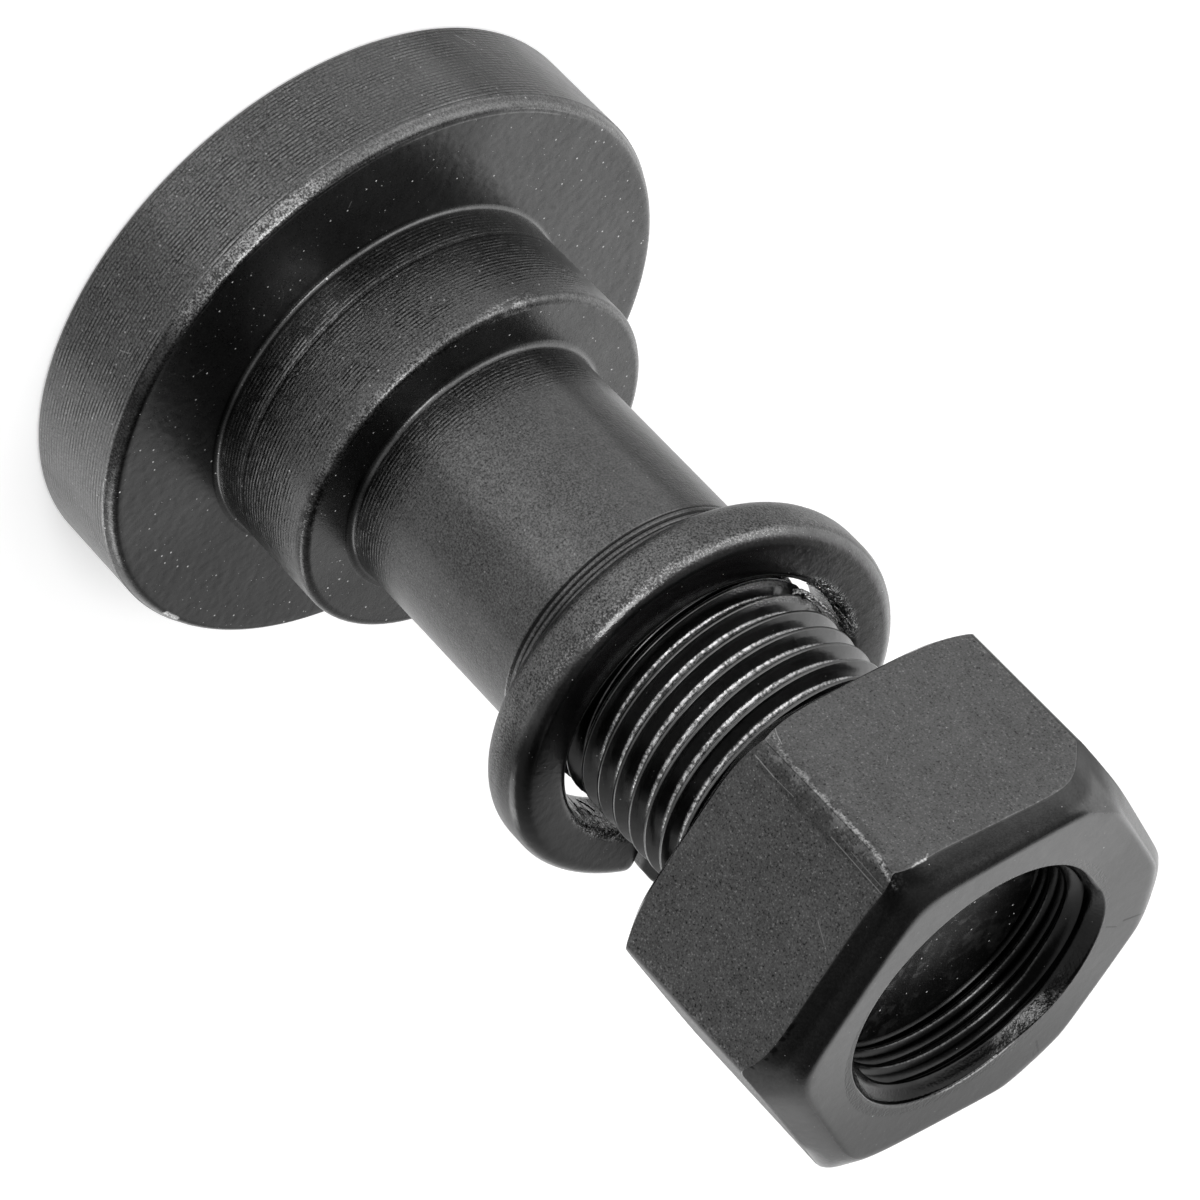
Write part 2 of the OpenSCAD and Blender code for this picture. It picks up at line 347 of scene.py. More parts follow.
def hexagon(a):
    """Radius of the hexagon at an angle, with rounded corners at 0, 60 ... degrees. The front one is the crispest."""
    w = np.mod(a + 30 * RAD, 60 * RAD) - 30 * RAD       # 0 at a corner
    w = np.abs(w)
    flat = NUT_AF / 2 / np.cos(30 * RAD - w)
    rc = np.where(np.cos(a) > math.cos(30 * RAD), 0.45, 1.0)
    c = NUT_AF / 2 / math.cos(30 * RAD) - rc / math.cos(30 * RAD)
    inside = np.maximum(rc * rc - (c * np.sin(w)) ** 2, 0)
    round_ = c * np.cos(w) + np.sqrt(inside)
    tangent = np.arctan2(rc * 0.5, c + rc * math.cos(30 * RAD))
    return np.where(w < tangent, round_, flat)


def off(a, at):
    """Degrees between angle a (radians) and at (degrees)."""
    return (np.degrees(a) - at + 180) % 360 - 180


def nut_top(a, r, front):
    """How far below the face the surface is at radius r: a turned cone, and along each flat a bevel that follows it.
    On the front face the bevel is lopsided, and the corners are knocked down by different amounts."""
    m = math.tan(NUT_CHAMFER * RAD)
    cone_r = NUT_FACE_R + NUT_EDGE * math.sin(NUT_CHAMFER * RAD)
    drop = NUT_EDGE * (1 - math.cos(NUT_CHAMFER * RAD))
    x = np.clip(r - NUT_FACE_R, 0, NUT_EDGE)
    round_ = NUT_EDGE - np.sqrt(np.maximum(NUT_EDGE ** 2 - x ** 2, 0))
    cone = np.where(r < NUT_FACE_R, 0, np.where(r < cone_r, round_, drop + (r - cone_r) * m))
    # distance in from the flats, blended where two meet
    s = -np.log(sum(np.exp(-0.8 * (NUT_AF / 2 - r * np.cos(off(a, 30 + 60 * k) * RAD))) for k in range(6))) / 0.8
    deep, wide = 1.4, 2.4
    if front:
        deep = 1.75 + 0.75 * np.cos(off(a, 25) * RAD) - 0.95 * np.exp(-(off(a, 0) / 7) ** 2)
        wide = 1.95 + 0.8 * np.cos(off(a, 50) * RAD)
    u = np.clip(wide - s, 0, None) / wide
    bevel = deep * 1.3 * u * u / (u + 0.3)
    top = (cone ** 3 + bevel ** 3) ** (1 / 3)
    if front:
        out = np.clip((r - 18.6) / 3.2, 0, None) ** 1.5
        for at, depth, spread in ((-60, 2.3, 8.0), (60, 0.3, 6.0), (120, -0.6, 8.0), (180, 0.7, 18.0), (240, 0.2, 9.0)):
            top = top + depth * np.exp(-(off(a, at) / spread) ** 2) * out
        # the far corners are rounded over
        u = np.clip((r - hexagon(a)) / 1.1 + 1, 0, 1)
        top = top + 0.75 * (1 - np.sqrt(1 - u * u)) * (np.exp(-(off(a, 120) / 14) ** 4) + np.exp(-(off(a, 180) / 20) ** 4))
    return top


def sink_edge(a):
    """Radius of the front countersink's mouth, which is uneven."""
    return 12.7 + 1.2 * np.maximum(np.cos(a), 0) + 0.9 * np.exp(-(off(a, -135) / 38) ** 4)


def nut_radius(a, z):
    u = from_crest(a, z, BOLT_CREST)
    # the nut's thread stands in the bolt's groove, with clearance all round
    v = np.abs(np.abs(u) - PITCH / 2)                    # from the middle of the nut's own crest
    crest = 0.20
    t30 = math.tan(30 * RAD)
    depth = np.clip((v - crest) / t30, 0, NUT_RO - NUT_RI)
    r = NUT_RI + depth
    up, down = NUT_Z + NUT_H - z, z - NUT_Z
    return np.maximum(r, np.maximum(sink_edge(a) - up * 0.7, SINK_R - down))


def nut_mesh():
    s = Shell(NUT_A)
    R = hexagon(NUT_A)
    lo, hi = NUT_Z, NUT_Z + NUT_H
    ri = 15.4
    sides = []
    for front in (True, False):
        mouth = sink_edge(NUT_A) if front else np.full_like(R, SINK_R)
        top = [(r, np.zeros_like(R)) for r in (mouth, mouth + 0.06, (mouth + 15.4) / 2)]
        for g in (1, 0.88, 0.76, 0.66, 0.57, 0.49, 0.42, 0.36, 0.3, 0.25, 0.2, 0.16, 0.12, 0.09, 0.06, 0.035, 0.015):
            r = R - (R - ri) * g
            top.append((r, nut_top(NUT_A, r, front)))
        edge = nut_top(NUT_A, R, front)
        sides.append((top + [(R - 0.02, edge), (R, edge + 0.04), (R, edge + 0.12)], edge))
    (top, e1), (under, e2) = sides
    rows = [s.ring(r, hi - z) for r, z in top]
    for f in (0.1, 0.3, 0.5, 0.7, 0.9):
        rows.append(s.ring(R, hi - e1 - (NUT_H - e1 - e2) * f))
    rows += [s.ring(r, lo + z) for r, z in under[::-1]]
    for p, q in zip(rows, rows[1:]):
        s.join(p, q)
    c = 0.20
    half = (NUT_RO - NUT_RI) * math.tan(30 * RAD)
    mid = PITCH / 2
    offs = [-mid + c + half, 0.0, mid - c - half, mid - c - half / 2, mid - c, mid, mid + c, mid + c + half / 2]
    offs = sorted(o if o < PITCH else o - PITCH for o in offs)
    s.helix(nut_radius, offs, lo, hi, BOLT_CREST)
    return s


s = nut_mesh()
nut = piece("hex_nut_forged", np.concatenate(s.pts), s.faces)

for o in (bolt, washer, nut):
    bm = bmesh.new()
    bm.from_mesh(o.data)
    print("PIECE", o.name, "verts", len(bm.verts), "tris", sum(len(f.verts) - 2 for f in bm.faces), "open edges", sum(1 for e in bm.edges if len(e.link_faces) != 2), "volume mm3", round(bm.calc_volume() * 1e9))
    bm.free()


# ---------------------------------------------------------------- materials
class Tree:
    """Short names for the shader nodes."""

    def __init__(self, name):
        self.mat = bpy.data.materials.new(name)
        self.mat.use_nodes = True
        self.t = self.mat.node_tree
        self.t.nodes.clear()
        self.out = self.t.nodes.new("ShaderNodeOutputMaterial")
        self.bsdf = self.t.nodes.new("ShaderNodeBsdfPrincipled")
        self.t.links.new(self.bsdf.outputs[0], self.out.inputs[0])
        co = self.t.nodes.new("ShaderNodeTexCoord")
        p = self.vec("SCALE", co.outputs["Object"], scale=1000.0)
        self.p = p
        sep = self.t.nodes.new("ShaderNodeSeparateXYZ")
        self.t.links.new(p, sep.inputs[0])
        self.x, self.y, self.z = (V(self, o) for o in sep.outputs)
        self.r = (self.x * self.x + self.y * self.y).pow(0.5)
        self.phi = self.math("ARCTAN2", self.y, self.x) * (180 / math.pi)

    def put(self, socket, value):
        if isinstance(value, V):
            value = value.s
        if isinstance(value, bpy.types.NodeSocket):
            self.t.links.new(value, socket)
        else:
            socket.default_value = value

    def math(self, op, *args, clamp=False):
        n = self.t.nodes.new("ShaderNodeMath")
        n.operation = op
        n.use_clamp = clamp
        for i, a in enumerate(args):
            self.put(n.inputs[i], a)
        return V(self, n.outputs[0])

    def vec(self, op, *args, scale=None):
        n = self.t.nodes.new("ShaderNodeVectorMath")
        n.operation = op
        for i, a in enumerate(args):
            self.put(n.inputs[i], a)
        if scale is not None:
            self.put(n.inputs["Scale"], scale)
        return n.outputs["Value"] if op in ("DOT_PRODUCT", "LENGTH", "DISTANCE") else n.outputs["Vector"]

    def xyz(self, x, y, z):
        n = self.t.nodes.new("ShaderNodeCombineXYZ")
        for i, a in enumerate((x, y, z)):
            self.put(n.inputs[i], a)
        return n.outputs[0]

    def noise(self, scale, detail=2.0, rough=0.5, at=None, w=None):
        n = self.t.nodes.new("ShaderNodeTexNoise")
        n.noise_dimensions = "3D"
        n.inputs["Scale"].default_value = scale
        n.inputs["Detail"].default_value = detail
        n.inputs["Roughness"].default_value = rough
        self.put(n.inputs["Vector"], self.p if at is None else at)
        return V(self, n.outputs["Fac"])

    def cells(self, scale, at=None):
        """Distance in mm to the nearest of scattered points, and a random number for that point."""
        n = self.t.nodes.new("ShaderNodeTexVoronoi")
        n.inputs["Scale"].default_value = scale
        self.put(n.inputs["Vector"], self.p if at is None else at)
        c = self.t.nodes.new("ShaderNodeSeparateColor")
        self.t.links.new(n.outputs["Color"], c.inputs[0])
        return V(self, n.outputs["Distance"]) * (1 / scale), V(self, c.outputs[0])

    def specks(self, scale, size, share):
        """Round specks of up to size mm at a share of the scattered points."""
        d, rnd = self.cells(scale)
        return self.math("GREATER_THAN", rnd, 1 - share) * self.step(d, size, size * 0.55)

    def line(self, a, b, width):
        """1 within width of the straight line from a to b, in mm."""
        u = Vector(b) - Vector(a)
        d = self.vec("SUBTRACT", self.p, tuple(a))
        h = self.math("MULTIPLY", V(self, self.vec("DOT_PRODUCT", d, tuple(u))), 1 / u.length_squared, clamp=True)
        away = self.vec("SUBTRACT", d, self.vec("SCALE", tuple(u), scale=h))
        return self.step(V(self, self.vec("LENGTH", away)), width, width * 0.4)

    def lines(self, todo):
        """The strongest of several lines (a, b, width, strength)."""
        out = None
        for a, b, width, strength in todo:
            m = self.line(a, b, width) * strength
            out = m if out is None else out.max(m)
        return out

    def layer(self, name):
        """The mesh's own number of this name at each point."""
        n = self.t.nodes.new("ShaderNodeAttribute")
        n.attribute_name = name
        return V(self, n.outputs["Fac"])

    def step(self, x, a, b, lo=0.0, hi=1.0):
        """Smooth step of x: lo at a, hi at b."""
        n = self.t.nodes.new("ShaderNodeMapRange")
        n.interpolation_type = "SMOOTHSTEP"
        self.put(n.inputs["Value"], x)
        n.inputs["From Min"].default_value = a
        n.inputs["From Max"].default_value = b
        n.inputs["To Min"].default_value = lo
        n.inputs["To Max"].default_value = hi
        return V(self, n.outputs["Result"])

    def band(self, x, a, b, soft):
        """1 between a and b, falling to 0 over soft on both sides."""
        return self.step(x, a - soft, a) * self.step(x, b, b + soft, 1.0, 0.0)

    def grey(self, v, tint=(1.0, 1.0, 1.0)):
        n = self.t.nodes.new("ShaderNodeCombineColor")
        for i in range(3):
            self.put(n.inputs[i], v * tint[i] if tint[i] != 1.0 else v)
        return n.outputs[0]

    def bump(self, height, strength=1.0, distance=0.001, base=None):
        n = self.t.nodes.new("ShaderNodeBump")
        n.inputs["Strength"].default_value = strength
        n.inputs["Distance"].default_value = distance
        self.put(n.inputs["Height"], height)
        if base is not None:
            self.put(n.inputs["Normal"], base)
        return n.outputs[0]


class V:
    """A number in a shader tree, with arithmetic."""

    def __init__(self, tree, socket):
        self.tree, self.s = tree, socket

    def __add__(self, o): return self.tree.math("ADD", self, o)
    __radd__ = __add__
    def __sub__(self, o): return self.tree.math("SUBTRACT", self, o)
    def __rsub__(self, o): return self.tree.math("SUBTRACT", o, self)
    def __mul__(self, o): return self.tree.math("MULTIPLY", self, o)
    __rmul__ = __mul__
    def __truediv__(self, o): return self.tree.math("DIVIDE", self, o)
    def pow(self, o): return self.tree.math("POWER", self, o)
    def max(self, o): return self.tree.math("MAXIMUM", self, o)
    def min(self, o): return self.tree.math("MINIMUM", self, o)
    def abs(self): return self.tree.math("ABSOLUTE", self)
    def sin(self): return self.tree.math("SINE", self)


def on(ph, r, z):
    """A point given by its angle in degrees, radius and height."""
    return (r * math.cos(ph * RAD), r * math.sin(ph * RAD), z)


def bolt_steel():
    t = Tree("black_bolt_steel")
    x, y, z, r, phi = t.x, t.y, t.z, t.r, t.phi
    # where things are
    rim = t.step(r, 29.2, 29.45) * t.step(z, 10.35, 10.15)
    band = t.step(z, 10.15, 10.35) * t.step(r, 28.5, 28.75) * t.step(z, 11.6, 11.5)
    face = t.step(z, 11.15, 11.28) * t.step(z, 11.6, 11.4) * t.step(r, 28.95, 28.75) * t.step(r, 18.6, 18.9)
    root = t.step(z, 11.1, 11.25) * t.step(z, 11.95, 11.8) * t.step(r, 19.0, 18.85)
    journal = t.step(z, 15.0, 15.2) * t.step(z, 23.9, 23.3) * t.step(r, 17.9, 18.1)
    neck = t.step(z, 11.8, 12.0) * t.step(z, 15.15, 15.05)
    ledge = t.step(z, 23.9, 23.97) * t.step(z, 24.1, 24.05) * t.step(r, 13.8, 14.0)
    edge = t.step(z, 22.6, 23.5) * t.step(r, 17.3, 17.6)
    shank = t.step(z, 24.3, 24.6) * t.step(z, 50.2, 49.9)
    thread = t.step(z, 50.2, 50.5)
    end = t.step(z, 86.2, 86.4)
    # grain of the surface, in three sizes
    cloud = t.noise(0.2, 1.0, 0.55) - 0.5
    blotch = t.noise(0.9, 1.0, 0.6) - 0.5
    grain = t.noise(5.4, 1.0, 0.75) - 0.5
    # turning marks: scallops of the feed, and uneven streaks round the axis
    run = z + r
    wander = t.noise(0.35, 1.0, 0.5, at=t.xyz(x * 0.5, y * 0.5, run * 0.8))
    feed = ((run + wander * 0.22) * (math.pi / 0.37)).sin().abs()
    streak = t.noise(1.3, 1.0, 0.7, at=t.xyz(x * 0.16, y * 0.16, run * 4.6)) - 0.5
    patch = t.noise(0.16, 1.0, 0.5, at=t.xyz(x, y, z * 1.6))
    strong_rim = rim * (t.step(patch, 0.42, 0.6) * 0.6 + 0.4 + t.band(phi, 5.0, 40.0, 20.0) * 0.35)
    near_root = t.step(z, 30.5, 25.5) * shank
    bricks = t.step(blotch, -0.13, 0.1)
    turned = strong_rim + journal * (t.step(patch, 0.36, 0.6) * 0.7 + 0.4) * t.step(z, 23.0, 20.5, 0.3, 1.0) + neck * 0.75 + near_root * 0.9 + shank * 0.12
    turned = turned * (bricks * 0.75 + 0.25)
    rings = shank * t.band(z, 45.95, 48.3, 0.05)
    rings = rings * t.step(r, 13.08, 13.0)
    # wear along the edges, with the edge highlight and some edge shade painted in
    near_edge = t.math("SQRT", (r - 29.35) * (r - 29.35) + (z - 10.75) * (z - 10.75))
    rub_and_edge_highlight = t.step(near_edge, 1.0, 0.3) * t.step(grain + blotch * 0.6, -0.12, 0.16)
    # the worn edge is painted brightest between -6 and 19 degrees, as the edge highlight
    rub_and_edge_highlight = rub_and_edge_highlight * (t.band(phi, -6.0, 19.0, 9.0) * 0.75 + t.band(phi, 60.0, 130.0, 25.0) * 0.08 + t.band(phi, -160.0, -75.0, 15.0) * 0.12 + 0.04)
    # painted shade: the rim's front edge darker between 24 and 38 degrees
    edge_shade = t.step(near_edge, 1.0, 0.4) * t.band(phi, 24.0, 38.0, 5.0)
    rub2 = edge * t.step(grain + blotch, -0.1, 0.18) * (t.band(phi, -40.0, -31.0, 6.0) * 0.6 + t.band(phi, 0.0, 50.0, 12.0) * 0.25 + 0.06)
    hairline = (t.step((near_edge - 1.02).abs(), 0.1, 0.03) + t.step((r - 28.86).abs(), 0.09, 0.03) * t.step(z, 11.0, 11.1)) * t.band(phi, -62.0, 16.0, 10.0) * t.step(wander, 0.38, 0.5)
    dust = t.specks(0.9, 0.11, 0.75) + t.specks(1.7, 0.055, 0.6) * 0.7
    dust = dust * (face * 1.0 + ledge + root * 0.6 + (rim + band) * 0.3 + journal * 0.35 + neck * 0.4 + shank * 0.12 + thread * 0.2 + end * 1.0)
    pits = t.step(blotch + grain * 0.35, 0.2, 0.29) * (face * 0.7 + rim + band * 0.6)
    scratch = t.lines([
        (on(7, 22.2, 11.3), on(8.5, 20.85, 11.3), 0.05, 0.35), (on(8.5, 20.85, 11.3), on(11, 20.05, 11.3), 0.05, 0.35),
        (on(11, 20.05, 11.3), on(13, 19.9, 11.3), 0.05, 0.25), (on(-13.6, 24.7, 11.3), on(-14.4, 25.2, 11.3), 0.09, 1.0),
        (on(31, 23.8, 11.3), on(32.4, 24.3, 11.3), 0.07, 0.8), (on(-33, 23.6, 11.3), on(-36, 25.2, 11.3), 0.05, 0.3),
        (on(-30, 18.35, 23.3), on(-39, 18.35, 22.9), 0.16, 0.4), (on(33, 29.6, 8.1), on(34, 29.6, 7.0), 0.08, 0.5),
        (on(-54, 29.6, 3.1), on(-52, 29.6, 1.6), 0.1, 0.6), (on(48, 18.35, 18.6), on(50, 18.35, 19.5), 0.06, 0.6)])
    chip = t.line(on(99.5, 28.9, 11.2), on(103.5, 28.9, 11.2), 0.32) * t.step(grain, -0.2, 0.0)
    bright = (scratch + rub_and_edge_highlight * 0.8 + rub2 * 0.7 + hairline * 0.4).min(1.0)
    # thread: grey crests, a bright beaded line painted along the root as its highlight, torn next to the washer
    crest = thread * t.step(r, THREAD_R - 0.1, THREAD_R - 0.02) * t.step(z, 85.0, 84.6)
    root_line = thread * t.step(r, 11.5, 11.34) * t.step(z, 54.0, 57.0) * t.step(z, 85.0, 84.6)
    beads = t.step(t.noise(3.2, 1.0, 0.6), 0.34, 0.62)
    torn = t.step(z, 59.4, 57.2) * thread * (t.band(phi, -120.0, -44.0, 14.0) + t.band(phi, 96.0, 130.0, 8.0)) * t.step(r, 12.0, 12.25)
    burr = t.step(t.layer("torn"), 0.4, 0.6)
    # colour is what the steel reflects straight on, with light and shade also painted in at set angles round the axis
    # painted sparkle of the highlight: the colour's grain is stronger between -12 and 26 degrees, where the highlight
    # falls
    highlight_zone = t.band(phi, -12.0, 26.0, 22.0)
    col = cloud * 0.024 + blotch * 0.03 + grain * ((rim + shank + band) * (highlight_zone * 0.09 + 0.06) + (journal + neck + edge) * (highlight_zone * 0.1 + 0.05) + face * (highlight_zone * 0.05) + 0.07 - thread * 0.04) + 0.077
    col = col + rim * 0.018 + band * 0.01 + journal * 0.01 + shank * 0.006 + face * 0.002 - thread * 0.006 + crest * 0.02 - end * 0.02
    # painted shade: a dark line in the small step at z 15.1 where the journal's turned part begins
    col = col * (1 - t.step((z - 15.1).abs(), 0.13, 0.05) * (1 - face) * t.step(r, 18.2, 18.25) * t.step(r, 18.6, 18.5) * 0.35)
    root2 = t.step(z, 23.9, 23.98) * t.step(z, 24.8, 24.6) * t.step(r, 13.95, 13.8)
    # painted shade: the head's face and ledge darker towards +y, and the thread run-out rings darkened as shade in
    # their grooves
    col = col * (1 - (face + ledge) * (t.step(y, -6.0, 20.0) * 0.42 + 0.06)) * (1 - rings * 0.8)
    # painted shade on the head's edges and roots between 44 and 150 degrees, and painted light on the rim between 62
    # and 120 degrees
    col = col * (1 - t.band(phi, 44.0, 150.0, 16.0) * (band + edge + root + root2).min(1.0) * 0.76) * (rim * t.band(phi, 62.0, 120.0, 16.0) * 0.35 + 1)
    # painted shade on rim, shank and journal between 22 and 36 degrees, and painted highlight on rim and shank between
    # 1 and 8 degrees
    col = col * (1 - (rim + shank + journal * 0.7) * t.band(phi, 22.0, 36.0, 13.0) * 0.3 + (rim + shank) * t.band(phi, 1.0, 8.0, 9.0) * 0.15)
    # painted highlight on the neck and the journal's lower part between 2 and 18 degrees
    col = col * ((neck * 1.3 + journal * t.step(z, 19.0, 15.0) * 0.45) * t.band(phi, 2.0, 18.0, 10.0) + 1)
    # painted shade on the shank and rim between -62 and -48 degrees
    col = col * (1 - (shank * t.band(phi, -62.0, -50.0, 9.0) * 0.52 + rim * t.band(phi, -62.0, -48.0, 9.0) * 0.5))
    # painted reflection: dark bands on the head's face and ledge where the journal is mirrored, and painted shade on
    # the journal between -72 and -44 degrees
    col = col * (1 - (face + ledge) * (t.band(phi, -40.0, 9.0, 12.0) + t.band(phi, 92.0, 150.0, 22.0)) * 0.32) * (1 - journal * t.band(phi, -72.0, -44.0, 12.0) * 0.34)
    # painted light on the rim and journal between 46 and 64 degrees
    col = col * ((rim + journal * 0.7) * t.band(phi, 46.0, 64.0, 8.0) * 0.3 + 1)
    # painted shade on the thread's two sides, between 42 and 130 and between -120 and -48 degrees
    col = col * (1 - thread * (t.band(phi, 42.0, 130.0, 14.0) * 0.5 + t.band(phi, -120.0, -48.0, 12.0) * 0.25))
    groove = (1 - feed) * (1 - feed)
    col = col * (1 - turned * groove * 0.85) * (1 + turned * (rim + journal * 0.6) * (feed - 0.66) * 0.8) * (1 - streak * turned * 0.4) * (1 - edge_shade * 0.55) * (1 - pits * 0.4)
    # painted highlight: the beaded bright line along the thread's root, brightest between -16 and 28 degrees
    col = col + turned * feed * grain * 0.12 + root * 0.004 + bright * (grain * 0.5 + 0.18) + root_line * (beads * (t.band(phi, -16.0, 28.0, 26.0) * 0.3 + 0.14) + 0.035)
    col = col + torn * (grain + 0.15).max(0.0) * 0.3 + burr * (grain * 1.3 + 0.16).max(0.0) + chip * 0.7 + dust * 0.7
    col = col + end * (t.step(blotch + cloud, 0.02, 0.25) * 0.07 + t.step(grain, 0.12, 0.24) * 0.1)
    t.put(t.bsdf.inputs["Base Color"], t.grey(col.max(0.012).min(0.9)))
    t.bsdf.inputs["Metallic"].default_value = 1.0
    rough = rim * 0.09 + journal * 0.03 + shank * 0.06 - thread * 0.08 + crest * 0.1 + bright * 0.1 + dust * 0.4 + chip * 0.3 + end * 0.2 + burr * 0.25 + face * 0.02 + root_line * 0.1
    t.put(t.bsdf.inputs["Roughness"], rough + grain * 0.12 + blotch * 0.05 + 0.275)
    height = feed * turned * (rim * 0.01 + 0.027) + streak * (turned * 0.018 + shank * 0.004)
    height = height + grain * (0.012 + rim * 0.028 + journal * 0.02 + shank * 0.026 + burr * 0.1 + torn * 0.09 + end * 0.03 + root_line * 0.05 - face * 0.006 - thread * 0.008) + blotch * ((face + shank * 0.7) * 0.022 + 0.016)
    t.put(t.bsdf.inputs["Normal"], t.bump(height))
    return t.mat


def washer_steel():
    t = Tree("black_washer_steel")
    x, y, z, r = t.x, t.y, t.z, t.r
    cloud = t.noise(0.25, 1.0, 0.55) - 0.5
    blotch = t.noise(1.0, 1.0, 0.6) - 0.5
    grain = t.noise(5.4, 1.0, 0.72) - 0.5
    # height above the middle of the leaning ring
    lean = math.tan(RAD * WASHER_LEAN)
    up = z - WASHER_Z - x * (lean * math.cos(RAD * LEAN_TO)) - y * (lean * math.sin(RAD * LEAN_TO))
    side = t.step(r, 17.8, 18.5) * t.step(up, 1.9, 1.2)
    front = t.step(up, 1.5, 2.3)
    # painted highlight: a grainy bright line along the front roundover, between -42 and 25 degrees
    ridge_highlight = t.step((up - 1.75).abs(), 0.65, 0.15) * t.step(r, 17.2, 17.9) * (t.band(t.phi, -12.0, 25.0, 12.0) * 0.45 + t.band(t.phi, -42.0, 25.0, 15.0) * 0.5)
    dust = t.specks(0.9, 0.07, 0.35) + t.specks(1.6, 0.045, 0.4) * 0.6
    nick = t.lines([(on(-83, 19.0, 56.2), on(-80, 19.05, 55.4), 0.1, 0.8), (on(-72, 18.9, 57.0), on(-70, 18.6, 57.4), 0.12, 0.7), (on(64, 18.4, 55.6), on(66, 18.3, 55.0), 0.08, 0.7), (on(-66, 18.0, 57.4), on(-63, 18.4, 57.0), 0.07, 0.6)])
    rubbed = t.step(r, 15.1, 14.4) * (t.band(t.phi, -106.0, -72.0, 7.0) + t.band(t.phi, 90.0, 120.0, 6.0)) * t.step(up, -1.0, 0.5)
    squiggle = t.noise(1.9, 1.0, 0.6) - 0.5
    burr = t.step(t.layer("torn"), 0.4, 0.6)
    col = cloud * 0.02 + blotch * 0.03 + grain * (side * 0.22 + 0.06) + 0.076 + side * 0.004 - front * 0.006
    # painted light and shade by angle: the front face darker towards +y and lighter between 12 and 46 degrees, the
    # outer edge darker between 52 and 110 degrees, shade over the ridge between -2 and 30 degrees and on the side in
    # two bands
    col = col * (1.15 - front * t.step(y, -2.0, 14.0) * 0.9) * (1 - t.step(r, 17.0, 18.2) * t.step(up, -0.4, 0.9) * t.band(t.phi, 52.0, 110.0, 18.0) * 0.72)
    col = col * (1 - t.step((up - 1.9).abs(), 1.0, 0.2) * t.step(r, 17.0, 17.6) * t.band(t.phi, -2.0, 30.0, 12.0) * 0.35) * (1 - side * (t.band(t.phi, -52.0, -26.0, 8.0) + t.band(t.phi, 16.0, 36.0, 8.0)) * 0.25)
    col = col * (front * t.band(t.phi, 12.0, 46.0, 10.0) * 1.3 + 1)
    col = col + ridge_highlight * (grain * 0.6 + 0.025).max(0.0) + nick * 0.22 + rubbed * (1 - burr) * (t.step(squiggle.abs(), 0.07, 0.02) * 0.22 - 0.045) + burr * (grain * 1.2 + 0.13).max(0.0) + dust * 0.4
    t.put(t.bsdf.inputs["Base Color"], t.grey(col.max(0.012).min(0.9)))
    t.bsdf.inputs["Metallic"].default_value = 1.0
    t.put(t.bsdf.inputs["Roughness"], grain * 0.16 + side * 0.12 + nick * 0.1 + dust * 0.4 - front * 0.05 + 0.26)
    t.put(t.bsdf.inputs["Normal"], t.bump(grain * (side * 0.045 + rubbed * 0.12 + 0.01) + blotch * 0.018))
    return t.mat


